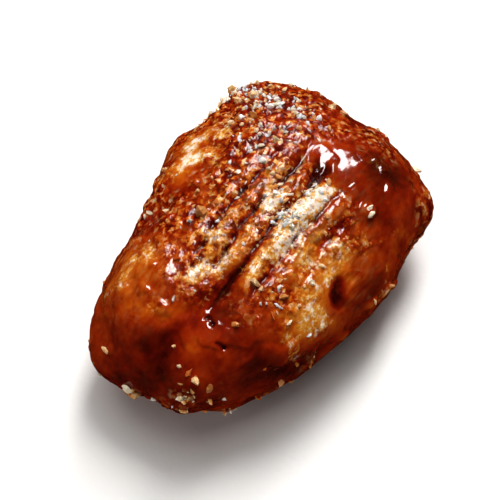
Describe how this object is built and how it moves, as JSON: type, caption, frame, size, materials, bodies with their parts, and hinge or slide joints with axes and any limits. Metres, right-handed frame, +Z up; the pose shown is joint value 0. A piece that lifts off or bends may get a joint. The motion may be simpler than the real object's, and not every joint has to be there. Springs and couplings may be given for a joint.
{
  "type": "candied almond",
  "caption": "Whole candied almond lying down: an egg-shaped kernel in a lumpy, glossy amber crust of caramelised sugar, with skin ridges on top.",
  "frame": {"origin": "middle of the box of the footprint, on the plane that the nut lies on", "axes": "+Z up from the resting face, +X along the nut towards its blunt end, +Y across it"},
  "size_m": [0.0272, 0.0192, 0.0128],
  "materials": {
    "caramel_crust": "hard caramelised sugar: amber to red brown glaze over tan, grainy sugar, glossy with a fine sparkle"
  },
  "bodies": {
    "root": {"candied_almond": "caramel_crust"}
  },
  "joints": []
}
